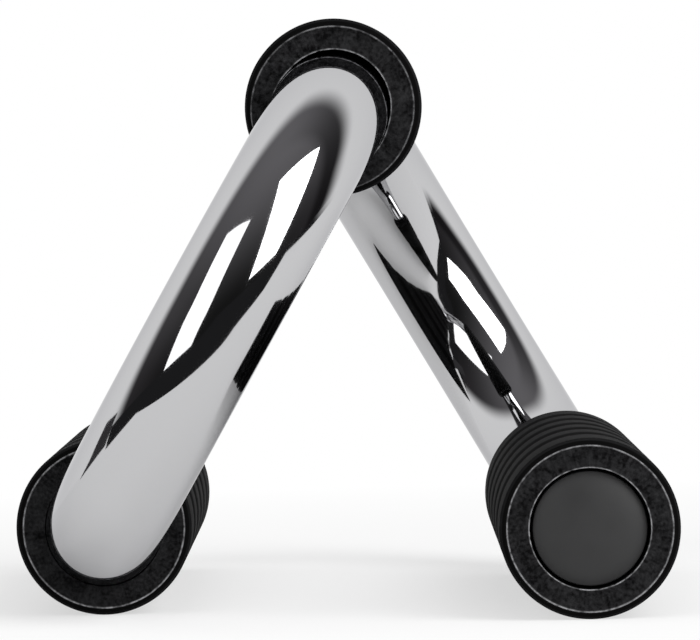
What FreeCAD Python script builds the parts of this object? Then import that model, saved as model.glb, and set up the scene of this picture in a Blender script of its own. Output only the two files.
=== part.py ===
import FreeCAD, Part

import math
import os

from FreeCAD import Vector

# A low gymnastics bar: one steel tube bent into an S, with foam sleeves on its handle
# and on its two feet, and a plastic plug in each open end. Sizes are in millimetres.
# The origin is on the floor, midway between the feet. +Z is up, the handle runs along
# Y, and half a turn about Z brings the whole bar onto itself.

# Steel tube
tube_diameter = 25.4
tube_wall = 1.5
bend_radius = 50.8  # to the tube's centre line
leg_spacing = 208.0  # along the handle, between the planes of the two legs
leg_straight = 3.4  # between the two bends of a leg
leg_splay_degrees = 30.0  # of a leg from the upright

# Foam sleeves
sleeve_clearance = 0.15  # all round the tube
sleeve_wall = 6.4  # thickness of the foam
sleeve_edge_round = 1.5
handle_sleeve_overlap = 13.0  # past the start of each bend
foot_sleeve_overlap = 2.7  # past the start of the bend
foot_sleeve_length = 160.0
ring_groove_count = 5
ring_groove_width = 12.0
ring_groove_depth = 0.9

# End plugs
plug_crest_setback = 0.3  # of the dome's crest from the sleeve's end
plug_dome_rise = 1.3
plug_head_edge = 2.2  # height of the head's straight rim
plug_head_inset = 0.45  # of the head's rim from the tube's outside
plug_shank_length = 18.0
plug_shank_wall = 1.6
plug_fin_count = 4
plug_fin_height = 1.8
plug_fin_root = 2.4
plug_fin_tip = 0.8
plug_fin_clearance = 0.05  # between a fin's tip and the tube's bore

# How far a cutting tool runs past the face that it opens
cut_overrun = 1.0

# Worked out from the sizes above
tube_radius = tube_diameter / 2
tube_bore_radius = tube_radius - tube_wall
sleeve_bore_radius = tube_radius + sleeve_clearance
sleeve_radius = sleeve_bore_radius + sleeve_wall
leg_splay = math.radians(leg_splay_degrees)
leg_plane = leg_spacing / 2
bend_start = leg_plane - bend_radius
leg_length = leg_straight + bend_radius * 2  # from the handle's axis to a foot's axis
foot_offset = leg_length * math.sin(leg_splay)
foot_height = sleeve_radius
handle_height = foot_height + leg_length * math.cos(leg_splay)
foot_sleeve_start = -bend_start - foot_sleeve_overlap
foot_sleeve_end = foot_sleeve_start + foot_sleeve_length
tube_end = foot_sleeve_end - plug_crest_setback - plug_dome_rise - plug_head_edge

origin = Vector(0, 0, 0)
along_bar = Vector(0, 1, 0)
upright = Vector(0, 0, 1)
left_foot_axis = Vector(-foot_offset, 0, foot_height)
handle_axis = Vector(0, 0, handle_height)


def half_turned(shape):
    """The same piece at the other end of the bar."""
    turned = shape.copy()
    turned.rotate(origin, upright, 180)
    return turned


def moved(shape, place):
    shape.translate(place)
    return shape


def lines_through(points):
    return [Part.LineSegment(a, b).toShape() for a, b in zip(points, points[1:])]


def arc_through(first, middle, last):
    return Part.Arc(first, middle, last).toShape()


def rounded_path(corners, radius):
    """A wire through the corners, with a tangent arc of the radius at each turn."""
    edges = []
    start = corners[0]
    for before, corner, after in zip(corners, corners[1:], corners[2:]):
        arriving = (corner - before).normalize()
        leaving = (after - corner).normalize()
        half_angle = arriving.getAngle(leaving) / 2
        setback = radius * math.tan(half_angle)
        arc_start = corner - arriving * setback
        arc_end = corner + leaving * setback
        towards_centre = (leaving - arriving).normalize()
        arc_middle = corner + towards_centre * (radius / math.cos(half_angle) - radius)
        edges += lines_through([start, arc_start])
        edges.append(arc_through(arc_start, arc_middle, arc_end))
        start = arc_end
    edges += lines_through([start, corners[-1]])
    return Part.Wire(edges)


def round_bar(path, radius):
    """A solid round bar that follows the path."""
    first_edge = path.Edges[0]
    first_point = first_edge.valueAt(first_edge.FirstParameter)
    direction = first_edge.tangentAt(first_edge.FirstParameter)
    section = Part.Wire(Part.Circle(first_point, direction, radius).toShape())
    return path.makePipeShell([section], True, False)


def tube_path():
    """Centre line of the S: foot, leg, handle, leg, foot."""
    first_half = [
        Vector(-foot_offset, tube_end, foot_height),
        Vector(-foot_offset, -leg_plane, foot_height),
        Vector(0, -leg_plane, handle_height),
    ]
    second_half = [Vector(-point.x, -point.y, point.z) for point in reversed(first_half)]
    return rounded_path(first_half + second_half, bend_radius)


def bent_tube():
    """The tube: a round bar along the S, hollowed from end to end."""
    path = tube_path()
    return round_bar(path, tube_radius).cut(round_bar(path, tube_bore_radius))


def turned_piece(edges):
    """Solid of revolution about Y of an outline that is drawn in radius and height."""
    outline = Part.Face(Part.Wire(edges))
    return outline.revolve(origin, along_bar, 360)


def ring_groove(middle):
    """A shallow round groove across the sleeve's wall."""
    half_width = ring_groove_width / 2
    return arc_through(
        Vector(sleeve_radius, middle - half_width, 0),
        Vector(sleeve_radius - ring_groove_depth, middle, 0),
        Vector(sleeve_radius, middle + half_width, 0),
    )


def sleeve(length, groove_count):
    """A foam sleeve from the origin along Y, with rounded ends and even ring grooves."""
    shoulder = sleeve_radius - sleeve_edge_round
    far_shoulder = length - sleeve_edge_round
    diagonal = sleeve_edge_round * math.sin(math.pi / 4)
    near_round = arc_through(
        Vector(shoulder, 0, 0),
        Vector(shoulder + diagonal, sleeve_edge_round - diagonal, 0),
        Vector(sleeve_radius, sleeve_edge_round, 0),
    )
    far_round = arc_through(
        Vector(sleeve_radius, far_shoulder, 0),
        Vector(shoulder + diagonal, far_shoulder + diagonal, 0),
        Vector(shoulder, length, 0),
    )
    pitch = length / (groove_count + 1)
    grooves = [ring_groove(pitch * (index + 1)) for index in range(groove_count)]
    curves = [near_round] + grooves + [far_round]
    edges = [near_round]
    for before, after in zip(curves, curves[1:]):
        edges += lines_through([before.Vertexes[-1].Point, after.Vertexes[0].Point])
        edges.append(after)
    edges += lines_through([
        Vector(shoulder, length, 0),
        Vector(sleeve_bore_radius, length, 0),
        Vector(sleeve_bore_radius, 0, 0),
        Vector(shoulder, 0, 0),
    ])
    return turned_piece(edges)


def foot_sleeve():
    """The left foot's sleeve, in its place."""
    start = left_foot_axis + along_bar * foot_sleeve_start
    return moved(sleeve(foot_sleeve_length, ring_groove_count), start)


def mouth_relief():
    """Room for the bend in the near mouth of the handle's sleeve, on the side of the leg.

    The tube leaves the handle's axis as it bends. The relief reaches the inner side of
    the bend at the sleeve's end, and is wide enough for the tube all the way there.
    """
    inner_bend = bend_radius - tube_radius
    tube_drift = inner_bend - math.sqrt(inner_bend ** 2 - handle_sleeve_overlap ** 2)
    relief_radius = math.hypot(sleeve_bore_radius, tube_drift / 2)
    relief_offset = tube_drift + sleeve_bore_radius - relief_radius
    down_the_leg = Vector(-math.sin(leg_splay), 0, -math.cos(leg_splay))
    depth = handle_sleeve_overlap + cut_overrun
    start = handle_axis - along_bar * bend_start + down_the_leg * relief_offset
    return Part.makeCylinder(relief_radius, depth, start, -along_bar)


def handle_sleeve():
    """The handle's sleeve, in its place, with both mouths opened for the bends."""
    half_length = bend_start + handle_sleeve_overlap
    plain = moved(sleeve(half_length * 2, 0), handle_axis - along_bar * half_length)
    near_relief = mouth_relief()
    return plain.cut(near_relief).cut(half_turned(near_relief))


def fin_outline(fin_radius, core_radius):
    """Points down the plug's shank: each fin is flat towards the head and slopes to the nose."""
    points = []
    pitch = plug_shank_length / plug_fin_count
    for index in range(plug_fin_count):
        flat_side = -pitch * index - (pitch - plug_fin_root) / 2
        points.append(Vector(core_radius, flat_side, 0))
        points.append(Vector(fin_radius, flat_side, 0))
        points.append(Vector(fin_radius, flat_side - plug_fin_tip, 0))
        points.append(Vector(core_radius, flat_side - plug_fin_root, 0))
    return points


def end_plug():
    """The left end's plug, in its place: a domed head on the tube's rim and a finned shank."""
    head_radius = tube_radius - plug_head_inset
    fin_radius = tube_bore_radius - plug_fin_clearance
    core_radius = fin_radius - plug_fin_height
    hollow_radius = core_radius - plug_shank_wall
    crest = plug_head_edge + plug_dome_rise
    dome_radius = (head_radius ** 2 + plug_dome_rise ** 2) / (2 * plug_dome_rise)
    half_reach = head_radius / 2
    half_height = crest - dome_radius + math.sqrt(dome_radius ** 2 - half_reach ** 2)
    rim = Vector(head_radius, plug_head_edge, 0)
    points = [rim, Vector(head_radius, 0, 0), Vector(core_radius, 0, 0)]
    points += fin_outline(fin_radius, core_radius)
    points += [
        Vector(core_radius, -plug_shank_length, 0),
        Vector(hollow_radius, -plug_shank_length, 0),
        Vector(hollow_radius, 0, 0),
        Vector(0, 0, 0),
        Vector(0, crest, 0),
    ]
    edges = lines_through(points)
    edges.append(arc_through(points[-1], Vector(half_reach, half_height, 0), rim))
    return moved(turned_piece(edges), left_foot_axis + along_bar * tube_end)


left_foot_sleeve = foot_sleeve()
left_end_plug = end_plug()

pieces = {
    "bent_tube": bent_tube(),
    "handle_sleeve": handle_sleeve(),
    "left_foot_sleeve": left_foot_sleeve,
    "right_foot_sleeve": half_turned(left_foot_sleeve),
    "left_end_plug": left_end_plug,
    "right_end_plug": half_turned(left_end_plug),
}

os.makedirs("parts", exist_ok=True)
for name, shape in pieces.items():
    shape.exportStep(os.path.join("parts", name + ".step"))
    print(name, shape.ShapeType, len(shape.Solids), shape.isValid(), round(shape.Volume, 1))

tube_section = math.pi * (tube_radius ** 2 - tube_bore_radius ** 2)
print("tube section times length", round(tube_section * tube_path().Length, 1))
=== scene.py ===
# %% [markdown]
# # A chromed parallette bar with foam sleeves
# The bar is one steel tube, bent into an S and chromed. A foam sleeve covers the handle and
# one more covers each foot, and a plastic plug closes each open end of the tube. The CAD
# model comes packed as a fixed frame, and this lesson dresses it: every piece is made again
# with the detail that a close look needs, and it stays where the CAD model has it.

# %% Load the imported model
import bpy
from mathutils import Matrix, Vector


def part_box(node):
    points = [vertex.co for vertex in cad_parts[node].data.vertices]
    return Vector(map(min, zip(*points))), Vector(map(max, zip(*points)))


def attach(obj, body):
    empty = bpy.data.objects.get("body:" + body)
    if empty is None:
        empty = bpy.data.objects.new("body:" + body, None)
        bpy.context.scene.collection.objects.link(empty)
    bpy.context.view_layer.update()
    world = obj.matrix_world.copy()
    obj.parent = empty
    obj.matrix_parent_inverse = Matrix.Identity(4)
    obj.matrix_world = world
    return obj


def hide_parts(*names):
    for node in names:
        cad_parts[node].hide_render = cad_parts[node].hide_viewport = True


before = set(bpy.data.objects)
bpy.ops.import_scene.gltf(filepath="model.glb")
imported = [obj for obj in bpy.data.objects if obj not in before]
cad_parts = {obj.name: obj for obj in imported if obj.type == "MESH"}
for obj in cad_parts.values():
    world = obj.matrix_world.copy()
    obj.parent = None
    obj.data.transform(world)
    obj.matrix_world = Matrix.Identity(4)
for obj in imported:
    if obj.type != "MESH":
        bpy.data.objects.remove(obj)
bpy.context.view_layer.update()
print("CAD nodes:", sorted(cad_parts))

# %% [markdown]
# ## Sizes
# Almost every size can be read from the boxes of the CAD nodes, which keeps the dressed bar
# and the solids together when the CAD model changes. A box can't tell the radius of a bend
# or the thickness of a wall, so those few are written here. All lengths are in metres.

# %% Measure the solids
import math
import bpy
from mathutils import Vector

millimetre = 0.001
tube_low, tube_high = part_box("bent_tube")
handle_low, handle_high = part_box("handle_sleeve")
foot_low, foot_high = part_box("left_foot_sleeve")
plug_low, plug_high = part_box("left_end_plug")

sleeve_radius = (foot_high.z - foot_low.z) / 2
foot_height = (foot_high.z + foot_low.z) / 2
foot_offset = -(foot_high.x + foot_low.x) / 2
handle_height = (handle_high.z + handle_low.z) / 2
tube_radius = foot_height - tube_low.z
leg_plane = tube_high.y - tube_radius
bend_radius = 50.8 * millimetre
tube_wall = 1.5 * millimetre
plug_head_height = 3.5 * millimetre
tube_end = plug_high.y - plug_head_height
print("tube radius", round(tube_radius, 5), "sleeve radius", round(sleeve_radius, 5))
print("handle height", round(handle_height, 5), "foot offset", round(foot_offset, 5))

# %% [markdown]
# ## Camera
# The picture looks almost straight along the handle, from a little above its middle, with a
# long lens. A camera that looks at an aim point takes only two places and a small roll, which
# is easier to read than three angles. The picture is 700 by 640, and the lens is counted on
# its long side.

# %% Place the camera
camera_place = Vector((6.5, -1432.06, 93.81)) * millimetre
camera_aim = Vector((2.35, 0.0, 62.3)) * millimetre
camera_roll = math.radians(-1.306)
camera_lens = 323.05

camera_data = bpy.data.cameras.new("camera")
camera_data.lens = camera_lens
camera_data.sensor_width = 36.0
camera_data.clip_start = 0.05
camera = bpy.data.objects.new("camera", camera_data)
bpy.context.collection.objects.link(camera)
looking = (camera_aim - camera_place).to_track_quat("-Z", "Y")
camera.matrix_world = looking.to_matrix().to_4x4()
camera.location = camera_place
camera.rotation_euler.rotate_axis("Z", camera_roll)
bpy.context.scene.camera = camera
bpy.context.scene.view_settings.view_transform = "Standard"
print("camera is", round((camera_aim - camera_place).length, 3), "m from its aim")

# %% [markdown]
# ## Small helpers for node trees
# The tube follows a path and the sleeves and plugs are turned shapes, so all of them come
# from Geometry Nodes. A tree needs the same few steps each time: named inputs, links, and at
# the end a plain mesh in place of the modifier. Each step is a short function.


# %% Helpers for trees
def new_tree(name, size_names):
    """An empty Geometry Nodes tree with one geometry in and out, and named sizes."""
    tree = bpy.data.node_groups.new(name, "GeometryNodeTree")
    tree.interface.new_socket("Geometry", in_out="INPUT", socket_type="NodeSocketGeometry")
    tree.interface.new_socket("Geometry", in_out="OUTPUT", socket_type="NodeSocketGeometry")
    for size_name, kind in size_names.items():
        tree.interface.new_socket(size_name, in_out="INPUT", socket_type=kind)
    return tree


def add_node(tree, kind, settings=None, values=None):
    """A new node with its settings, and with fixed values on its inputs."""
    node = tree.nodes.new(kind)
    for name, setting in (settings or {}).items():
        setattr(node, name, setting)
    for name, value in (values or {}).items():
        node.inputs[name].default_value = value
    return node


def join(tree, from_socket, to_socket):
    tree.links.new(from_socket, to_socket)


def dress(piece, tree, values):
    """Puts the tree on the piece, with its inputs set by their identifiers."""
    modifier = piece.modifiers.new(tree.name, "NODES")
    modifier.node_group = tree
    for item in tree.interface.items_tree:
        if item.item_type == "SOCKET" and item.in_out == "INPUT" and item.name in values:
            modifier[item.identifier] = values[item.name]


def make_plain(piece):
    """Replaces the piece's mesh by what its modifiers give, and removes them."""
    graph = bpy.context.evaluated_depsgraph_get()
    evaluated = piece.evaluated_get(graph)
    mesh = bpy.data.meshes.new_from_object(
        evaluated, preserve_all_data_layers=True, depsgraph=graph
    )
    drawn = piece.data
    piece.modifiers.clear()
    piece.data = mesh
    mesh.name = piece.name
    bpy.data.meshes.remove(drawn)
    print(piece.name, "has", len(mesh.polygons), "faces")


def line_piece(name, points, closed=False):
    """A new object whose mesh is a line through the points."""
    edges = [(index, index + 1) for index in range(len(points) - 1)]
    if closed:
        edges.append((len(points) - 1, 0))
    mesh = bpy.data.meshes.new(name)
    mesh.from_pydata([tuple(point) for point in points], edges, [])
    piece = bpy.data.objects.new(name, mesh)
    bpy.context.collection.objects.link(piece)
    return piece


# %% [markdown]
# ## Chrome
# Bright chrome mirrors its surroundings and gives back a little over half of their light, so
# its colour is a middle grey and a white studio shows as light grey. Metal gives back more at
# a flat angle, and the specular tint holds that down near the edges of the tube. A mirror
# without any fault looks drawn, so handling leaves faint cloudy smears: a noise texture makes
# the gloss a little wider in patches.

# %% Chrome finish
chrome_grey = (0.56, 0.56, 0.57, 1.0)
chrome_edge_grey = (0.75, 0.75, 0.76, 1.0)
clean_roughness = 0.03
smeared_roughness = 0.085


def new_material(name):
    """A new material, its node tree and its main shader."""
    material = bpy.data.materials.new(name)
    material.use_nodes = True
    tree = material.node_tree
    return material, tree, tree.nodes["Principled BSDF"]


def remap(tree, value, from_low, from_high, to_low=0.0, to_high=1.0):
    """Moves a range of numbers to another one, and stays inside it."""
    limits = {"From Min": from_low, "From Max": from_high, "To Min": to_low, "To Max": to_high}
    node = add_node(tree, "ShaderNodeMapRange", values=limits)
    join(tree, value, node.inputs["Value"])
    return node.outputs["Result"]


chrome, chrome_tree, chrome_shader = new_material("chrome")
chrome_shader.inputs["Base Color"].default_value = chrome_grey
chrome_shader.inputs["Metallic"].default_value = 1.0
chrome_shader.inputs["Specular Tint"].default_value = chrome_edge_grey
chrome_place = add_node(chrome_tree, "ShaderNodeTexCoord")
chrome_smears = add_node(
    chrome_tree, "ShaderNodeTexNoise", values={"Scale": 55.0, "Detail": 5.0, "Roughness": 0.6}
)
join(chrome_tree, chrome_place.outputs["Object"], chrome_smears.inputs["Vector"])
chrome_gloss = remap(
    chrome_tree, chrome_smears.outputs["Fac"], 0.35, 0.75, clean_roughness, smeared_roughness
)
join(chrome_tree, chrome_gloss, chrome_shader.inputs["Roughness"])
print("chrome takes its gloss from", chrome_smears.name)

# %% [markdown]
# ## Bent tube
# A tube bender turns one straight tube four times round the same roller, so the centre line
# is five straight runs joined by four equal arcs. The tree does the same: it rounds the
# corners of a line with one radius, spreads rings evenly along it and puts a circle on each.
# Even rings matter on a mirror, because the shading between two rings is a blend.

# %% Tree for the tube
steps_per_bend = 96

tube_tree = new_tree("tube along a bent line", {
    "Bend radius": "NodeSocketFloat",
    "Tube radius": "NodeSocketFloat",
    "Ring spacing": "NodeSocketFloat",
    "Sides": "NodeSocketInt",
    "Finish": "NodeSocketMaterial",
})
tube_in = add_node(tube_tree, "NodeGroupInput")
tube_out = add_node(tube_tree, "NodeGroupOutput")
tube_line = add_node(tube_tree, "GeometryNodeMeshToCurve")
tube_bends = add_node(
    tube_tree,
    "GeometryNodeFilletCurve",
    {"mode": "POLY"},
    {"Count": steps_per_bend, "Limit Radius": False},
)
tube_rings = add_node(tube_tree, "GeometryNodeResampleCurve", {"mode": "LENGTH"})
tube_circle = add_node(tube_tree, "GeometryNodeCurvePrimitiveCircle")
tube_skin = add_node(tube_tree, "GeometryNodeCurveToMesh")
tube_smooth = add_node(tube_tree, "GeometryNodeSetShadeSmooth")
tube_real = add_node(tube_tree, "GeometryNodeRealizeInstances")
tube_finish = add_node(tube_tree, "GeometryNodeSetMaterial")
join(tube_tree, tube_in.outputs["Geometry"], tube_line.inputs["Mesh"])
join(tube_tree, tube_line.outputs["Curve"], tube_bends.inputs["Curve"])
join(tube_tree, tube_in.outputs["Bend radius"], tube_bends.inputs["Radius"])
join(tube_tree, tube_bends.outputs["Curve"], tube_rings.inputs["Curve"])
join(tube_tree, tube_in.outputs["Ring spacing"], tube_rings.inputs["Length"])
join(tube_tree, tube_rings.outputs["Curve"], tube_skin.inputs["Curve"])
join(tube_tree, tube_in.outputs["Sides"], tube_circle.inputs["Resolution"])
join(tube_tree, tube_in.outputs["Tube radius"], tube_circle.inputs["Radius"])
join(tube_tree, tube_circle.outputs["Curve"], tube_skin.inputs["Profile Curve"])
join(tube_tree, tube_skin.outputs["Mesh"], tube_smooth.inputs["Geometry"])
join(tube_tree, tube_smooth.outputs["Geometry"], tube_real.inputs["Geometry"])
join(tube_tree, tube_real.outputs["Geometry"], tube_finish.inputs["Geometry"])
join(tube_tree, tube_in.outputs["Finish"], tube_finish.inputs["Material"])
join(tube_tree, tube_finish.outputs["Geometry"], tube_out.inputs["Geometry"])
print("tube tree has", len(tube_tree.nodes), "nodes")

# %% Bend the tube
ring_spacing = 2.0 * millimetre
tube_sides = 96
tube_corners = [
    (-foot_offset, tube_end, foot_height),
    (-foot_offset, -leg_plane, foot_height),
    (0.0, -leg_plane, handle_height),
    (0.0, leg_plane, handle_height),
    (foot_offset, leg_plane, foot_height),
    (foot_offset, -tube_end, foot_height),
]
bent_tube = line_piece("chromed_tube", tube_corners)
dress(bent_tube, tube_tree, {
    "Bend radius": bend_radius,
    "Tube radius": tube_radius,
    "Ring spacing": ring_spacing,
    "Sides": tube_sides,
    "Finish": chrome,
})
wall = bent_tube.modifiers.new("wall", "SOLIDIFY")
wall.thickness = tube_wall
wall.offset = -1.0
make_plain(bent_tube)

# %% [markdown]
# ## Foam
# The sleeves are closed-cell foam, foamed in a tube-shaped mould and cut to length. Their
# skin is smooth and almost black. The cut ends show the cells: a mottled dark grey with small
# pits, which are painted black as painted shade, and faint streaks that fan out from the
# middle. A thin pale line along each lip is a painted highlight. Attributes on the mesh say
# where the cut face is and where painted highlights and painted shade go, so that one
# material serves all three sleeves.


# %% Helpers for materials
def read_attribute(tree, name):
    return add_node(tree, "ShaderNodeAttribute", {"attribute_name": name})


def noise(tree, vector, scale, detail):
    """A cloudy pattern; a larger scale makes it finer."""
    texture = add_node(tree, "ShaderNodeTexNoise", values={"Scale": scale, "Detail": detail})
    join(tree, vector, texture.inputs["Vector"])
    return texture.outputs["Fac"]


def calculate(tree, operation, first, second):
    """One calculation with two values; each is a number or a socket."""
    node = add_node(tree, "ShaderNodeMath", {"operation": operation})
    for socket, value in zip(node.inputs, (first, second)):
        if isinstance(value, float):
            socket.default_value = value
        else:
            join(tree, value, socket)
    return node.outputs["Value"]


def blend_colours(tree, share, first, second):
    """Goes from the first colour to the second; each is a colour or a socket."""
    node = add_node(tree, "ShaderNodeMix", {"data_type": "RGBA"})
    inputs = [socket for socket in node.inputs if socket.enabled]
    join(tree, share, inputs[0])
    for socket, colour in zip(inputs[1:], (first, second)):
        if isinstance(colour, tuple):
            socket.default_value = colour + (1.0,)
        else:
            join(tree, colour, socket)
    return next(socket for socket in node.outputs if socket.enabled)


# %% Foam skin
skin_dark = (0.006, 0.006, 0.0064)
skin_pale = (0.009, 0.009, 0.0095)

foam, foam_tree, foam_shader = new_material("foam")
foam_place = add_node(foam_tree, "ShaderNodeTexCoord").outputs["Object"]
cut_share = read_attribute(foam_tree, "cut_face").outputs["Fac"]
# This attribute carries painted light: above zero a painted highlight, below zero painted shade.
painted_tone_share = read_attribute(foam_tree, "painted_light_and_shade").outputs["Fac"]
pit_shade_share = read_attribute(foam_tree, "pit").outputs["Fac"]
around = read_attribute(foam_tree, "around").outputs["Vector"]

skin_noise = noise(foam_tree, foam_place, scale=90.0, detail=4.0)
skin_cloud = remap(foam_tree, skin_noise, 0.35, 0.7)
skin_colour = blend_colours(foam_tree, skin_cloud, skin_dark, skin_pale)
print("foam skin has", len(foam_tree.nodes), "nodes")

# %% Foam cut face
cell_dark = (0.0026, 0.0026, 0.0028)
cell_pale = (0.0205, 0.0205, 0.0215)
# This black is painted shade, for the pits and for the dark bands of the sleeves.
painted_shade_black = (0.002, 0.002, 0.002)
streak_weight = 0.4

blotches = noise(foam_tree, foam_place, scale=240.0, detail=4.0)
cells = noise(foam_tree, foam_place, scale=1400.0, detail=4.0)
fan = noise(foam_tree, around, scale=26.0, detail=2.0)
streaks = calculate(foam_tree, "MULTIPLY", fan, streak_weight)
mottle = calculate(foam_tree, "ADD", calculate(foam_tree, "ADD", blotches, cells), streaks)
cut_tone = remap(foam_tree, mottle, 0.96, 1.48)
cut_colour = blend_colours(foam_tree, cut_tone, cell_dark, cell_pale)
# The pits are painted black here as painted shade in the hollows.
pit_shaded_colour = blend_colours(foam_tree, pit_shade_share, cut_colour, painted_shade_black)
plain_colour = blend_colours(foam_tree, cut_share, skin_colour, pit_shaded_colour)
print("cut cells go from", cell_dark[0], "to", cell_pale[0])

# %% Painted highlights on the lips and painted shade beside them
# This grey is a painted highlight along the lips, broken up by noise.
lip_highlight_grey = (0.31, 0.31, 0.32)
foam_sheen = 0.03
skin_roughness = 0.75
cut_roughness = 0.9

line_noise = noise(foam_tree, foam_place, scale=700.0, detail=3.0)
highlight_breaks = remap(foam_tree, line_noise, 0.36, 0.62, 0.2, 1.0)
highlight_tone = calculate(foam_tree, "MULTIPLY", painted_tone_share, highlight_breaks)
# Below zero the tone goes to black: painted shade beside the lips, in the grooves and near the
# rims.
painted_shade_share = remap(foam_tree, painted_tone_share, -1.0, 0.0, 1.0, 0.0)
painted_shade_colour = blend_colours(foam_tree, painted_shade_share, plain_colour, painted_shade_black)
highlight_share = remap(foam_tree, highlight_tone, 0.0, 1.0)
foam_colour = blend_colours(foam_tree, highlight_share, painted_shade_colour, lip_highlight_grey)
foam_roughness = remap(foam_tree, cut_share, 0.0, 1.0, skin_roughness, cut_roughness)
join(foam_tree, foam_colour, foam_shader.inputs["Base Color"])
join(foam_tree, foam_roughness, foam_shader.inputs["Roughness"])
foam_shader.inputs["Specular IOR Level"].default_value = foam_sheen
print("foam tree has", len(foam_tree.nodes), "nodes")

# %% Foam grain
grain_depth = 0.12 * millimetre
skin_grain = 0.12
cut_grain = 0.6

foam_cells = add_node(foam_tree, "ShaderNodeTexVoronoi", values={"Scale": 1500.0})
join(foam_tree, foam_place, foam_cells.inputs["Vector"])
fine_grain = noise(foam_tree, foam_place, scale=2600.0, detail=2.0)
grain_height = calculate(foam_tree, "ADD", foam_cells.outputs["Distance"], fine_grain)
grain_strength = remap(foam_tree, cut_share, 0.0, 1.0, skin_grain, cut_grain)
foam_bump = add_node(foam_tree, "ShaderNodeBump", values={"Distance": grain_depth})
join(foam_tree, grain_height, foam_bump.inputs["Height"])
join(foam_tree, grain_strength, foam_bump.inputs["Strength"])
join(foam_tree, foam_bump.outputs["Normal"], foam_shader.inputs["Normal"])
print("foam grain comes from", foam_cells.name)

# %% [markdown]
# ## Turned pieces
# Sleeves and plugs are round, so each is half a section turned about its axis. A lathe
# modifier could do it, but a tree also carries the section's attributes over to the mesh and
# moves the skin a little: soft waves from handling, and pits in a cut face. The tree turns
# the section about a circle that is as wide as the core radius, so a section starts at zero.

# %% Tree for turned pieces
merge_distance = 0.001 * millimetre

turned_tree = new_tree("section turned about an axis", {
    "Core radius": "NodeSocketFloat",
    "Segments": "NodeSocketInt",
    "Waviness": "NodeSocketFloat",
    "Pit depth": "NodeSocketFloat",
    "Seed": "NodeSocketFloat",
    "Facing": "NodeSocketVector",
    "Place": "NodeSocketVector",
    "Finish": "NodeSocketMaterial",
})
turned_in = add_node(turned_tree, "NodeGroupInput")
turned_out = add_node(turned_tree, "NodeGroupOutput")
turned_line = add_node(turned_tree, "GeometryNodeMeshToCurve")
turned_circle = add_node(turned_tree, "GeometryNodeCurvePrimitiveCircle")
turned_skin = add_node(turned_tree, "GeometryNodeCurveToMesh")
turned_merge = add_node(
    turned_tree, "GeometryNodeMergeByDistance", values={"Distance": merge_distance}
)
join(turned_tree, turned_in.outputs["Geometry"], turned_line.inputs["Mesh"])
join(turned_tree, turned_in.outputs["Core radius"], turned_circle.inputs["Radius"])
join(turned_tree, turned_in.outputs["Segments"], turned_circle.inputs["Resolution"])
join(turned_tree, turned_circle.outputs["Curve"], turned_skin.inputs["Curve"])
join(turned_tree, turned_line.outputs["Curve"], turned_skin.inputs["Profile Curve"])
join(turned_tree, turned_skin.outputs["Mesh"], turned_merge.inputs["Geometry"])
print("a section is turned about a", turned_circle.name)

# %% Direction around the axis
turned_place = add_node(turned_tree, "GeometryNodeInputPosition").outputs["Position"]
turned_flat = add_node(turned_tree, "ShaderNodeVectorMath", {"operation": "MULTIPLY"})
turned_flat.inputs[1].default_value = (1.0, 1.0, 0.0)
turned_around = add_node(turned_tree, "ShaderNodeVectorMath", {"operation": "NORMALIZE"})
turned_store = add_node(
    turned_tree,
    "GeometryNodeStoreNamedAttribute",
    {"data_type": "FLOAT_VECTOR", "domain": "POINT"},
    {"Name": "around"},
)
join(turned_tree, turned_place, turned_flat.inputs[0])
join(turned_tree, turned_flat.outputs["Vector"], turned_around.inputs[0])
join(turned_tree, turned_around.outputs["Vector"], turned_store.inputs["Value"])
join(turned_tree, turned_merge.outputs["Geometry"], turned_store.inputs["Geometry"])
print("stored on the mesh:", turned_store.inputs["Name"].default_value)

# %% Waves and pits
wave_noise = add_node(
    turned_tree, "ShaderNodeTexNoise", {"noise_dimensions": "4D"}, {"Scale": 70.0, "Detail": 2.0}
)
pit_noise = add_node(
    turned_tree, "ShaderNodeTexNoise", {"noise_dimensions": "4D"}, {"Scale": 750.0, "Detail": 1.0}
)
for texture in (wave_noise, pit_noise):
    join(turned_tree, turned_place, texture.inputs["Vector"])
    join(turned_tree, turned_in.outputs["Seed"], texture.inputs["W"])
wave = calculate(
    turned_tree, "MULTIPLY",
    remap(turned_tree, wave_noise.outputs["Fac"], 0.0, 1.0, -1.0, 1.0),
    turned_in.outputs["Waviness"],
)
turned_cut = add_node(
    turned_tree, "GeometryNodeInputNamedAttribute", values={"Name": "cut_face"}
)
pit = calculate(
    turned_tree, "MULTIPLY",
    remap(turned_tree, pit_noise.outputs["Fac"], 0.60, 0.72),
    turned_cut.outputs["Attribute"],
)
pit_store = add_node(
    turned_tree,
    "GeometryNodeStoreNamedAttribute",
    {"data_type": "FLOAT", "domain": "POINT"},
    {"Name": "pit"},
)
join(turned_tree, turned_store.outputs["Geometry"], pit_store.inputs["Geometry"])
join(turned_tree, pit, pit_store.inputs["Value"])
pit_sink = calculate(turned_tree, "MULTIPLY", pit, turned_in.outputs["Pit depth"])
wave_less_pit = calculate(turned_tree, "SUBTRACT", wave, pit_sink)
turned_normal = add_node(turned_tree, "GeometryNodeInputNormal").outputs["Normal"]
turned_shift = add_node(turned_tree, "ShaderNodeVectorMath", {"operation": "SCALE"})
turned_moved = add_node(turned_tree, "GeometryNodeSetPosition")
join(turned_tree, turned_normal, turned_shift.inputs[0])
join(turned_tree, wave_less_pit, turned_shift.inputs["Scale"])
join(turned_tree, pit_store.outputs["Geometry"], turned_moved.inputs["Geometry"])
join(turned_tree, turned_shift.outputs["Vector"], turned_moved.inputs["Offset"])
print("stored on the mesh:", pit_store.inputs["Name"].default_value)

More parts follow.
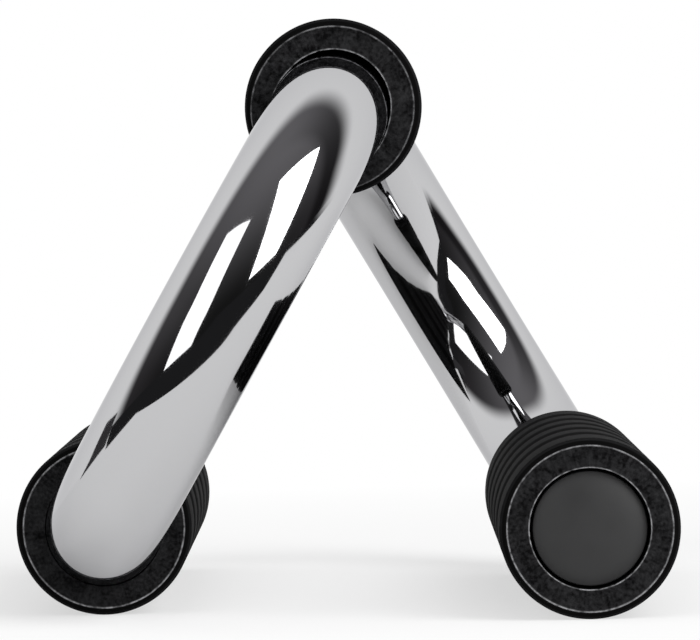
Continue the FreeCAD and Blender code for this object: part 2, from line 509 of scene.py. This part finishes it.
# %% Place and finish
turned_turn = add_node(turned_tree, "FunctionNodeEulerToRotation")
turned_set = add_node(turned_tree, "GeometryNodeTransform")
turned_smooth = add_node(turned_tree, "GeometryNodeSetShadeSmooth")
turned_real = add_node(turned_tree, "GeometryNodeRealizeInstances")
turned_finish = add_node(turned_tree, "GeometryNodeSetMaterial")
join(turned_tree, turned_in.outputs["Facing"], turned_turn.inputs["Euler"])
join(turned_tree, turned_turn.outputs["Rotation"], turned_set.inputs["Rotation"])
join(turned_tree, turned_in.outputs["Place"], turned_set.inputs["Translation"])
join(turned_tree, turned_moved.outputs["Geometry"], turned_set.inputs["Geometry"])
join(turned_tree, turned_set.outputs["Geometry"], turned_smooth.inputs["Geometry"])
join(turned_tree, turned_smooth.outputs["Geometry"], turned_real.inputs["Geometry"])
join(turned_tree, turned_real.outputs["Geometry"], turned_finish.inputs["Geometry"])
join(turned_tree, turned_in.outputs["Finish"], turned_finish.inputs["Material"])
join(turned_tree, turned_finish.outputs["Geometry"], turned_out.inputs["Geometry"])
print("tree for turned pieces has", len(turned_tree.nodes), "nodes")

# %% [markdown]
# ## Sections of the sleeves
# A sleeve's section starts at the bore's edge, runs out over the cut face, round the soft
# corner, along the wall and back. The knife leaves the face a little hollow between two fine
# lips, and a band of painted shade lies on the skin beside them. The feet have five wide and
# shallow ring grooves at even distances. Each groove is painted black as painted shade, and
# the ribs between them carry a faint painted highlight. Each point carries two tones: how
# much it belongs to the cut face, and a tone of painted light from 1, a painted highlight
# along a lip, to -1, black painted shade.
# Points lie close together only where the section turns.

# %% Cut end of a sleeve
sleeve_clearance = 0.15 * millimetre
sleeve_bore = tube_radius + sleeve_clearance
edge_round = 1.5 * millimetre
edge_round_steps = 10
face_edge = sleeve_radius - edge_round
face_hollow = 0.15 * millimetre
face_step = 0.25 * millimetre
lip_width = 0.14 * millimetre
lip_foot_depth = 0.06 * millimetre
lip_foot_share = 0.2
lip_shoulder_share = 0.9
# The rounded rim carries painted shade: black next to the lip, darker where the wall starts.
rim_shade_band_end = 0.45
rim_shade_band_tone = -1.0
rim_wall_start = 0.8
rim_wall_shade_tone = -0.6


def rim_painted_shade(share):
    """Painted shade on the rounded rim: black beside the lip, and darker where the wall starts.
    """
    if share < rim_shade_band_end:
        return rim_shade_band_tone
    return 0.0 if share < rim_wall_start else rim_wall_shade_tone


def cut_end(bore_lip_highlight, rim_lip_highlight):
    """Points from bore to wall: radius, depth from the end, share of cut, tone of painted light.

    The two shares that it takes set the painted highlights on the lips at bore and rim.
    """
    points = [
        (sleeve_bore, 0.6 * millimetre, 0.5, 0.0),
        (sleeve_bore, 0.3 * millimetre, 0.8, lip_foot_share * bore_lip_highlight),
        (sleeve_bore + 0.06 * millimetre, 0.07 * millimetre, 1.0, lip_shoulder_share * bore_lip_highlight),
        (sleeve_bore + lip_width, 0.0, 1.0, bore_lip_highlight),
        (sleeve_bore + 2 * lip_width, lip_foot_depth, 1.0, lip_foot_share * bore_lip_highlight),
    ]
    first = sleeve_bore + 3 * lip_width
    last = face_edge - 3 * lip_width
    steps = round((last - first) / face_step)
    for index in range(steps + 1):
        points.append((first + (last - first) * index / steps, face_hollow, 1.0, 0.0))
    points.append((face_edge - 2 * lip_width, lip_foot_depth, 1.0, lip_foot_share * rim_lip_highlight))
    points.append((face_edge - lip_width, 0.0, 1.0, rim_lip_highlight))
    points.append((face_edge, 0.0, 0.7, lip_shoulder_share * rim_lip_highlight))
    for index in range(1, edge_round_steps + 1):
        share = index / edge_round_steps
        turn = math.pi / 2 * share
        radius = face_edge + edge_round * math.sin(turn)
        depth = edge_round * (1.0 - math.cos(turn))
        points.append((radius, depth, 0.0, rim_painted_shade(share)))
    return points


print("a cut end has", len(cut_end(1.0, 1.0)), "points")

# %% Ring grooves and ribs
groove_count = 5
groove_width = 12.0 * millimetre
groove_depth = 0.9 * millimetre
groove_steps = 24
# The grooves are painted black as painted shade, fading out at their shoulders.
groove_painted_shade = -1.0
groove_fade = 4.0
# A faint painted highlight on the middle of each rib.
rib_crest_highlight = 0.01
rib_fade = 4.0
rim_shade_reach = 4.0 * millimetre
rim_shade_tone = -0.5


def groove_points(middle):
    """Points across one ring groove, painted black as painted shade that fades out at its
    shoulders.
    """
    half = groove_width / 2
    points = []
    for index in range(groove_steps + 1):
        offset = 2.0 * index / groove_steps - 1.0
        dip = groove_depth * (1.0 - offset ** 2)
        tone = groove_painted_shade * min(1.0, groove_fade * (1.0 - offset ** 2))
        points.append((sleeve_radius - dip, middle + half * offset, 0.0, tone))
    return points


def rib_tone(height, length, pitch):
    """A painted highlight in the middle of a rib, and painted shade close to the sleeve's rims.
    """
    if min(height, length - height) < edge_round + rim_shade_reach:
        return rim_shade_tone
    from_crest = abs((height / pitch) % 1.0 - 0.5)
    return rib_crest_highlight * max(0.0, 1.0 - rib_fade * from_crest)


print("a groove has", len(groove_points(0.0)), "points")

# %% Whole section
wall_step = 3.0 * millimetre
groove_room = 0.55 * groove_width
bore_near_steps = 14
bore_middle_shares = (0.2, 0.35, 0.5)


def wall_line(length, grooves_wanted):
    """Points along the wall, with even ring grooves."""
    pitch = length / (grooves_wanted + 1)
    steps = round((length - 2 * edge_round) / wall_step)
    grooves = [pitch * (index + 1) for index in range(grooves_wanted)]
    points = []
    for index in range(1, steps):
        height = edge_round + (length - 2 * edge_round) * index / steps
        if all(abs(height - groove) > groove_room for groove in grooves):
            tone = rib_tone(height, length, pitch) if grooves else 0.0
            points.append((sleeve_radius, height, 0.0, tone))
    for groove in grooves:
        points += groove_points(groove)
    return sorted(points, key=lambda point: point[1])


def bore_line(length):
    """Points down the bore, close together near both ends."""
    near_heights = [index * millimetre for index in range(1, bore_near_steps + 1)]
    half = near_heights + [length * share for share in bore_middle_shares]
    whole = sorted(set(half + [length - height for height in half]), reverse=True)
    return [(sleeve_bore, height, 0.0, 0.0) for height in whole]


def sleeve_section(length, grooves_wanted, near_lips, far_lips):
    """The whole section; the lips are the two painted highlight shares that a cut end takes."""
    far_points = reversed(cut_end(*far_lips))
    far_end = [(radius, length - depth, cut, line) for radius, depth, cut, line in far_points]
    return cut_end(*near_lips) + wall_line(length, grooves_wanted) + far_end + bore_line(length)


foot_length = foot_high.y - foot_low.y
bend_end_lips = (0.0, 1.0)
open_end_lips = (1.0, 0.8)
foot_section = sleeve_section(foot_length, groove_count, bend_end_lips, open_end_lips)
print("foot section has", len(foot_section), "points")

# %% [markdown]
# ## Foot sleeves
# Both feet carry the same sleeve. The right foot is the left one after half a turn about the
# upright axis through the middle of the bar, so one function makes both. At the bend the foam
# hugs the tube and its lip gets no painted highlight, and at the open end the lip's painted
# highlight shows round the plug.

# %% Turn a sleeve
sleeve_segments = 256
skin_waves = 0.06 * millimetre
pit_depth = 0.16 * millimetre


def laid_along_handle(half_turn):
    """Angles that lay a turned piece along the handle, and turn the right foot's half round."""
    return (math.pi / 2, 0.0, math.pi if half_turn else 0.0)


def section_piece(name, section, core_radius, closed):
    """A line in the plane of the section, with the section's shares as attributes."""
    points = [(radius - core_radius, height, 0.0) for radius, height, cut, line in section]
    piece = line_piece(name, points, closed)
    for attribute, column in (("cut_face", 2), ("painted_light_and_shade", 3)):
        shares = piece.data.attributes.new(attribute, "FLOAT", "POINT")
        shares.data.foreach_set("value", [point[column] for point in section])
    return piece


def turned_sleeve(name, section, start, half_turn, seed):
    """A sleeve from its section; each seed gives other waves and pits."""
    piece = section_piece(name, section, sleeve_bore, True)
    dress(piece, turned_tree, {
        "Core radius": sleeve_bore,
        "Segments": sleeve_segments,
        "Waviness": skin_waves,
        "Pit depth": pit_depth,
        "Seed": seed,
        "Facing": laid_along_handle(half_turn),
        "Place": start,
        "Finish": foam,
    })
    make_plain(piece)
    return piece


left_start = (-foot_offset, foot_low.y, foot_height)
right_start = (foot_offset, -foot_low.y, foot_height)
left_foot = turned_sleeve("left_foot_foam", foot_section, left_start, False, 1.0)
right_foot = turned_sleeve("right_foot_foam", foot_section, right_start, True, 2.0)

# %% [markdown]
# ## Handle sleeve
# The handle's sleeve reaches a little way onto both bends. Foam gives way there: its bore is
# pushed open on the side that the tube bends to, closes in a little on the other side, where
# the tube leaves it, and shows a dark crescent there. The shift is worked out from the bend
# itself, point by point, and fades towards the skin, which hardly moves.

# %% Turn the handle's sleeve
handle_start = (0.0, handle_low.y, handle_height)
handle_length = handle_high.y - handle_low.y
handle_lips = (1.0, 0.45)
handle_section = sleeve_section(handle_length, 0, handle_lips, handle_lips)
handle_foam = turned_sleeve("handle_foam", handle_section, handle_start, False, 3.0)

# %% How the bore gives way
foam_gap = 0.1 * millimetre
foam_closes_by = 0.45 * millimetre
furthest_push = 4.0 * millimetre
push_halvings = 16
bend_start = leg_plane - bend_radius
sleeve_past_bend = handle_length / 2 - bend_start
leg_run = Vector((-foot_offset, 0.0, foot_height - handle_height)).normalized()


def tube_clears(across, along):
    """Whether a point beside the near bend is outside the tube; across is from the axis."""
    past = max(along - bend_start, 0.0)
    towards_leg = across.dot(leg_run)
    sideways = (across - leg_run * towards_leg).length
    from_middle = math.hypot(math.hypot(past, bend_radius - towards_leg) - bend_radius, sideways)
    return from_middle >= tube_radius + foam_gap


def bore_shift(direction, along):
    """How far the bore's wall moves in this direction: it closes in, but clears the tube."""
    closing = foam_closes_by * min((along - bend_start) / sleeve_past_bend, 1.0)
    wall_radius = sleeve_bore - closing
    if tube_clears(direction * wall_radius, along):
        return -closing
    low = 0.0
    high = furthest_push
    for _ in range(push_halvings):
        middle = (low + high) / 2
        if tube_clears(direction * (wall_radius + middle), along):
            high = middle
        else:
            low = middle
    return high - closing


print("the sleeve reaches", round(sleeve_past_bend * 1000, 2), "mm onto a bend")

# %% Open the mouths
skin_share = 0.12
widest = 0.0
for vertex in handle_foam.data.vertices:
    side = -1.0 if vertex.co.y < 0.0 else 1.0
    along = abs(vertex.co.y)
    if along < bend_start:
        continue
    across = Vector((vertex.co.x * -side, 0.0, vertex.co.z - handle_height))
    radius = across.length
    direction = across / radius
    shift = bore_shift(direction, along)
    depth = (radius - sleeve_bore) / (sleeve_radius - sleeve_bore)
    fade = min(max(depth, 0.0), 1.0)
    moved = across + direction * shift * (1.0 - (1.0 - skin_share) * fade)
    vertex.co.x = moved.x * -side
    vertex.co.z = moved.z + handle_height
    widest = max(widest, shift)
print("the mouths give way by up to", round(widest * 1000, 2), "mm")

# %% [markdown]
# ## End plugs
# A push-in plug has a domed head as wide as the tube and a hollow shank with soft fins that
# hold it in the bore. It is moulded in one piece from a satin plastic, and the head's rim is
# rounded. It is turned by the same tree as the sleeves, with no waves and no pits.

# %% Plug plastic
plastic_dark = (0.009, 0.009, 0.0094)
plastic_pale = (0.0125, 0.0125, 0.013)
least_satin = 0.5
most_satin = 0.56

plastic, plastic_tree, plastic_shader = new_material("plug plastic")
plastic_place = add_node(plastic_tree, "ShaderNodeTexCoord").outputs["Object"]
plastic_noise = noise(plastic_tree, plastic_place, scale=160.0, detail=4.0)
plastic_cloud = remap(plastic_tree, plastic_noise, 0.3, 0.7)
plastic_colour = blend_colours(plastic_tree, plastic_cloud, plastic_dark, plastic_pale)
plastic_satin = remap(plastic_tree, plastic_cloud, 0.0, 1.0, least_satin, most_satin)
plastic_grain = noise(plastic_tree, plastic_place, scale=3200.0, detail=2.0)
plastic_bump = add_node(
    plastic_tree, "ShaderNodeBump", values={"Distance": 0.02 * millimetre, "Strength": 0.25}
)
join(plastic_tree, plastic_colour, plastic_shader.inputs["Base Color"])
join(plastic_tree, plastic_satin, plastic_shader.inputs["Roughness"])
join(plastic_tree, plastic_grain, plastic_bump.inputs["Height"])
join(plastic_tree, plastic_bump.outputs["Normal"], plastic_shader.inputs["Normal"])
print("plastic tree has", len(plastic_tree.nodes), "nodes")

# %% Section of a plug
plug_radius = (plug_high.x - plug_low.x) / 2
plug_dome = 1.5 * millimetre
plug_dome_power = 2.7
plug_dome_steps = 16
plug_rim_round = 0.3 * millimetre
plug_rim_steps = 6
shank_length = 18.0 * millimetre
shank_wall = 1.6 * millimetre
fin_clearance = 0.05 * millimetre
fin_reach = tube_radius - tube_wall - fin_clearance
fin_height = 1.8 * millimetre
fin_count = 4
fin_root = 2.4 * millimetre
fin_tip = 0.8 * millimetre


def plug_section():
    """Points from the hollow's bottom, down and up the shank, round the head to its crest."""
    core = fin_reach - fin_height
    hollow = core - shank_wall
    points = [(0.0, 0.0), (hollow, 0.0), (hollow, -shank_length), (core, -shank_length)]
    pitch = shank_length / fin_count
    for index in reversed(range(fin_count)):
        flat_side = -pitch * index - (pitch - fin_root) / 2
        points.append((core, flat_side - fin_root))
        points.append((fin_reach, flat_side - fin_tip))
        points.append((fin_reach, flat_side))
        points.append((core, flat_side))
    points += [(core, 0.0), (plug_radius, 0.0)]
    dome_edge = plug_head_height - plug_dome
    for index in range(plug_rim_steps + 1):
        turn = math.pi / 2 * index / plug_rim_steps
        radius = plug_radius - plug_rim_round * (1.0 - math.cos(turn))
        points.append((radius, dome_edge - plug_rim_round * (1.0 - math.sin(turn))))
    dome_reach = plug_radius - plug_rim_round
    for index in range(1, plug_dome_steps + 1):
        out = 1.0 - index / plug_dome_steps
        points.append((dome_reach * out, plug_head_height - plug_dome * out ** plug_dome_power))
    return [(radius, height, 0.0, 0.0) for radius, height in points]


print("plug section has", len(plug_section()), "points")

# %% Turn the plugs
plug_core = 1.0 * millimetre
plug_segments = 128


def turned_plug(name, place, half_turn):
    """A smooth plug from its section."""
    piece = section_piece(name, plug_section(), plug_core, False)
    dress(piece, turned_tree, {
        "Core radius": plug_core,
        "Segments": plug_segments,
        "Waviness": 0.0,
        "Pit depth": 0.0,
        "Seed": 0.0,
        "Facing": laid_along_handle(half_turn),
        "Place": place,
        "Finish": plastic,
    })
    make_plain(piece)
    return piece


left_plug = turned_plug("left_plug", (-foot_offset, tube_end, foot_height), False)
right_plug = turned_plug("right_plug", (foot_offset, -tube_end, foot_height), True)

# %% [markdown]
# ## Floor and background
# The bar stands on a plain white sheet. The camera, mirrors and glass see the sheet and the
# world behind it as white, while the light that they give the bar stays at a plain level. The
# floor is an ordinary pale paint close to the bar, so it takes the shadow, and fades to the
# same white further away, so no horizon shows. The chrome looks into the shade under the bar,
# so mirrors see more of the paint than the camera does. The middle of that shade lies a
# little to the right and to the back.

# %% Floor
floor_reach = 8.0
floor_drop = 0.05 * millimetre
floor_pale = (0.86, 0.86, 0.86, 1.0)


def flat_sheet(name, corners):
    """A new object with one face through the corners."""
    mesh = bpy.data.meshes.new(name)
    mesh.from_pydata(corners, [], [tuple(range(len(corners)))])
    sheet = bpy.data.objects.new(name, mesh)
    bpy.context.collection.objects.link(sheet)
    return sheet


floor = flat_sheet("floor", [
    (-floor_reach, -floor_reach, -floor_drop),
    (floor_reach, -floor_reach, -floor_drop),
    (floor_reach, floor_reach, -floor_drop),
    (-floor_reach, floor_reach, -floor_drop),
])
floor_paint, floor_tree, floor_shader = new_material("floor paint")
floor_shader.inputs["Base Color"].default_value = floor_pale
floor_shader.inputs["Roughness"].default_value = 1.0
floor_shader.inputs["Specular IOR Level"].default_value = 0.0
floor.data.materials.append(floor_paint)
print("the floor reaches", floor_reach, "m")

# %% White where it is seen
shade_middle = (0.03, 0.05, 0.0)
mirrored_shade_start = 0.03
mirrored_least_white = 0.18
seen_shade_start = 0.12
seen_least_white = 0.6
shade_end = 0.45


def seen_share(tree):
    """One where the camera, a mirror or glass looks at the surface, and zero elsewhere."""
    path = add_node(tree, "ShaderNodeLightPath")
    seen = calculate(
        tree, "MAXIMUM", path.outputs["Is Camera Ray"], path.outputs["Is Glossy Ray"]
    )
    return calculate(tree, "MAXIMUM", seen, path.outputs["Is Transmission Ray"])


def show(tree, shader_socket):
    """Makes this shader the one that the material shows."""
    join(tree, shader_socket, tree.nodes["Material Output"].inputs["Surface"])


floor_place = add_node(floor_tree, "ShaderNodeTexCoord").outputs["Object"]
floor_away = add_node(floor_tree, "ShaderNodeVectorMath", {"operation": "DISTANCE"})
floor_away.inputs[1].default_value = shade_middle
join(floor_tree, floor_place, floor_away.inputs[0])
floor_distance = floor_away.outputs["Value"]
mirrored_white = remap(
    floor_tree, floor_distance, mirrored_shade_start, shade_end, mirrored_least_white, 1.0
)
seen_white = remap(floor_tree, floor_distance, seen_shade_start, shade_end, seen_least_white, 1.0)
camera_sees = add_node(floor_tree, "ShaderNodeLightPath").outputs["Is Camera Ray"]
floor_share = calculate(
    floor_tree, "MAXIMUM",
    calculate(floor_tree, "MULTIPLY", mirrored_white, seen_share(floor_tree)),
    calculate(floor_tree, "MULTIPLY", seen_white, camera_sees),
)
floor_white = add_node(floor_tree, "ShaderNodeEmission", values={"Strength": 1.0})
floor_mix = add_node(floor_tree, "ShaderNodeMixShader")
join(floor_tree, floor_share, floor_mix.inputs["Fac"])
join(floor_tree, floor_shader.outputs["BSDF"], floor_mix.inputs[1])
join(floor_tree, floor_white.outputs["Emission"], floor_mix.inputs[2])
show(floor_tree, floor_mix.outputs["Shader"])
print("the floor is white from", shade_end, "m on")

# %% World
world_light = 0.35
world = bpy.data.worlds.new("white studio")
world.use_nodes = True
bpy.context.scene.world = world
world_tree = world.node_tree
background = world_tree.nodes["Background"]
background.inputs["Color"].default_value = (1.0, 1.0, 1.0, 1.0)
world_strength = remap(world_tree, seen_share(world_tree), 0.0, 1.0, world_light, 1.0)
join(world_tree, world_strength, background.inputs["Strength"])
print("the world lights the bar at", world_light)

# %% [markdown]
# ## Soft boxes
# Chrome shows what stands around it. Two tall soft boxes stand in front of the bar, one on
# each side of the camera, and lean over it. They draw the two white bars that run down each
# leg. A third lamp overhead only lifts the light on the foam, so mirrors don't see it. Each
# box has its place in metres and two angles: where it faces and how far it leans.


# %% Soft boxes
def soft_box(name, place, facing, lean, width, height, brightness):
    """A rectangular lamp of an even brightness, whatever its size; angles are in degrees."""
    lamp_data = bpy.data.lights.new(name, "AREA")
    lamp_data.shape = "RECTANGLE"
    lamp_data.size = width
    lamp_data.size_y = height
    lamp_data.energy = brightness * math.pi * width * height
    lamp = bpy.data.objects.new(name, lamp_data)
    lamp.location = place
    lamp.rotation_euler = (math.radians(90.0 - lean), 0.0, math.radians(facing))
    bpy.context.collection.objects.link(lamp)
    return lamp


right_box = soft_box(
    "right soft box", (1.877, -1.998, 1.347),
    facing=29.8, lean=52.1, width=1.84, height=3.23, brightness=5.0,
)
left_box = soft_box(
    "left soft box", (-1.483, -2.392, 1.253),
    facing=-29.7, lean=24.7, width=1.59, height=2.89, brightness=2.0,
)
top_box = soft_box(
    "top soft box", (0.1, -0.1, 1.3),
    facing=0.0, lean=90.0, width=1.2, height=1.2, brightness=0.8,
)
top_box.visible_glossy = False
print("soft boxes:", right_box.name, left_box.name, top_box.name)

# %% [markdown]
# ## Dark tent
# Between and above the soft boxes the studio is dark: almost black near the horizon and a
# dull grey overhead, with a dark fold on the right. Behind the bar it turns to white in a soft
# slope, which starts further forward high up on the left and later low down on the right. A
# tent round the scene paints this by height and by direction. Only mirrors see the tent, so
# it gives the chrome its deep tones and takes no light from the foam.

# %% Tent
import bmesh

tent_reach = 5.0


def only_in_mirrors(thing):
    """Marks a thing of the studio that is seen in the chrome and nowhere else."""
    thing.visible_camera = False
    thing.visible_diffuse = False
    thing.visible_shadow = False
    thing.visible_transmission = False


tent_mesh = bpy.data.meshes.new("dark tent")
tent_shape = bmesh.new()
bmesh.ops.create_uvsphere(tent_shape, u_segments=48, v_segments=24, radius=tent_reach)
tent_shape.to_mesh(tent_mesh)
tent_shape.free()
tent = bpy.data.objects.new("dark tent", tent_mesh)
bpy.context.collection.objects.link(tent)
only_in_mirrors(tent)
print("the tent has", len(tent_mesh.polygons), "panels")


# %% Helpers for cloth
def glowing_cloth(name):
    """A material that shows its tone whatever light falls on it, and the tone's socket."""
    cloth, tree = new_material(name)[:2]
    glow = add_node(tree, "ShaderNodeEmission", values={"Strength": 1.0})
    show(tree, glow.outputs["Emission"])
    return cloth, glow.inputs["Color"]


def soft_step(tree, value, low, high):
    """Goes from zero at low to one at high, gently at both ends."""
    limits = {"From Min": low, "From Max": high}
    node = add_node(tree, "ShaderNodeMapRange", {"interpolation_type": "SMOOTHSTEP"}, limits)
    join(tree, value, node.inputs["Value"])
    return node.outputs["Result"]


def way_from_bar(tree):
    """The direction in which a point lies from the middle of the bar."""
    place = add_node(tree, "ShaderNodeTexCoord").outputs["Object"]
    node = add_node(tree, "ShaderNodeVectorMath", {"operation": "NORMALIZE"})
    join(tree, place, node.inputs[0])
    return node.outputs["Vector"]


def reach_along(tree, way, direction):
    """How far a way leads along a direction."""
    node = add_node(tree, "ShaderNodeVectorMath", {"operation": "DOT_PRODUCT"})
    join(tree, way, node.inputs[0])
    node.inputs[1].default_value = direction
    return node.outputs["Value"]


# %% Dark part of the tent
horizon_back_tone = (0.032, 0.03, 0.032)
horizon_front_tone = (0.012, 0.012, 0.012)
overhead_tone = (0.187, 0.182, 0.19)
overhead_power = 1.75
black = (0.0, 0.0, 0.0)
fold_darkness = 0.62

tent_cloth, tent_colour = glowing_cloth("tent cloth")
tent_tree = tent_cloth.node_tree
tent_way = way_from_bar(tent_tree)
tent_height = reach_along(tent_tree, tent_way, (0.0, 0.0, 1.0))
tent_front = reach_along(tent_tree, tent_way, (0.0, -1.0, 0.0))
tent_right = reach_along(tent_tree, tent_way, (1.0, 0.0, 0.0))
front_share = soft_step(tent_tree, tent_front, 0.0, 1.0)
low_tone = blend_colours(tent_tree, front_share, horizon_back_tone, horizon_front_tone)
tent_rise = calculate(tent_tree, "POWER", tent_height, overhead_power)
tent_tone = blend_colours(tent_tree, tent_rise, low_tone, overhead_tone)
right_share = soft_step(tent_tree, tent_right, -0.3, 0.9)
fold_reach = soft_step(tent_tree, tent_front, 0.22, 0.03)
fold_share = calculate(tent_tree, "MULTIPLY", right_share, fold_reach)
fold_depth = calculate(tent_tree, "MULTIPLY", fold_share, fold_darkness)
folded_tone = blend_colours(tent_tree, fold_depth, tent_tone, black)
print("the fold takes up to", fold_darkness, "of the tent's tone")

# %% White behind the bar
white = (1.0, 1.0, 1.0)
white_way = (-0.06, 1.0, -0.25)
white_start = -0.06
white_end = 0.26
left_lead_weight = -0.16
right_lag_weight = -0.08

left_side = calculate(tent_tree, "MINIMUM", tent_right, 0.0)
left_slant = calculate(tent_tree, "MULTIPLY", left_side, tent_height)
left_lead = calculate(tent_tree, "MULTIPLY", left_slant, left_lead_weight)
near_horizon = soft_step(tent_tree, tent_height, 0.3, 0.0)
low_right = calculate(tent_tree, "MULTIPLY", right_share, near_horizon)
right_lag = calculate(tent_tree, "MULTIPLY", low_right, right_lag_weight)
side_shift = calculate(tent_tree, "ADD", left_lead, right_lag)
tent_back = reach_along(tent_tree, tent_way, white_way)
white_reach = calculate(tent_tree, "ADD", tent_back, side_shift)
white_share = soft_step(tent_tree, white_reach, white_start, white_end)
join(tent_tree, blend_colours(tent_tree, white_share, folded_tone, white), tent_colour)
tent_mesh.materials.append(tent_cloth)
print("tent cloth has", len(tent_tree.nodes), "nodes")

# %% [markdown]
# ## Edge of the white sheet
# The white sheet ends a hand's length in front of the bar and to its left, and a big step to
# its right. The dark floor beyond it draws the dark tongue on the lower half of the near leg,
# and turns to white behind the bar, as the tent does. A small dark card, cut slanting at its
# far end, stands at the left. These too are only seen in mirrors.

# %% Dark floor
dark_floor_tone = (0.018, 0.018, 0.019)
dark_floor_white_way = (0.3, 1.0, 0.0)
dark_floor_lift = 0.3 * millimetre
sheet_edge = [
    (-tent_reach, 0.53), (-0.26, -0.09), (-0.26, -0.215), (0.25, -0.28),
    (1.4, -0.68), (1.05, 0.0), (1.1, 0.5), (tent_reach, 2.3),
]
front_corners = [(tent_reach, -tent_reach), (-tent_reach, -tent_reach)]

dark_floor = flat_sheet("dark floor", [
    (x, y, dark_floor_lift) for x, y in sheet_edge + front_corners
])
dark_cloth, dark_colour = glowing_cloth("dark cloth")
dark_tree = dark_cloth.node_tree
dark_back = reach_along(dark_tree, way_from_bar(dark_tree), dark_floor_white_way)
dark_slope = soft_step(dark_tree, dark_back, 0.3, 0.68)
join(dark_tree, blend_colours(dark_tree, dark_slope, dark_floor_tone, white), dark_colour)
dark_floor.data.materials.append(dark_cloth)
only_in_mirrors(dark_floor)
print("the white sheet ends", sheet_edge[2], "to", sheet_edge[3])

# %% Dark card
card_tone = (0.045, 0.044, 0.046, 1.0)
card_near = Vector((-0.347, -0.07))
card_far = Vector((-0.283, 0.045))
card_outline = [
    (0.0, dark_floor_lift), (1.0, dark_floor_lift), (0.75, 0.018), (0.56, 0.068), (0.0, 0.066),
]

dark_card = flat_sheet("dark card", [
    (*card_near.lerp(card_far, share), height) for share, height in card_outline
])
card_cloth, card_colour = glowing_cloth("card cloth")
card_colour.default_value = card_tone
dark_card.data.materials.append(card_cloth)
only_in_mirrors(dark_card)
print("the card is", round((card_far - card_near).length, 3), "m wide")

# %% [markdown]
# ## Put the pieces on the body
# Each dressed piece stands for one CAD node, whose own mesh is hidden, and rides on the bar's
# only body. The list also gives the name of the material slot that each finish belongs to.

# %% Attach the pieces and hide the CAD nodes
dressed = [
    (bent_tube, "bent_tube", "chrome"),
    (handle_foam, "handle_sleeve", "foam"),
    (left_foot, "left_foot_sleeve", "foam"),
    (right_foot, "right_foot_sleeve", "foam"),
    (left_plug, "left_end_plug", "plug_plastic"),
    (right_plug, "right_end_plug", "plug_plastic"),
]
for piece, node_name, slot_name in dressed:
    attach(piece, "root")
    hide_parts(node_name)
print("dressed nodes:", len(dressed))
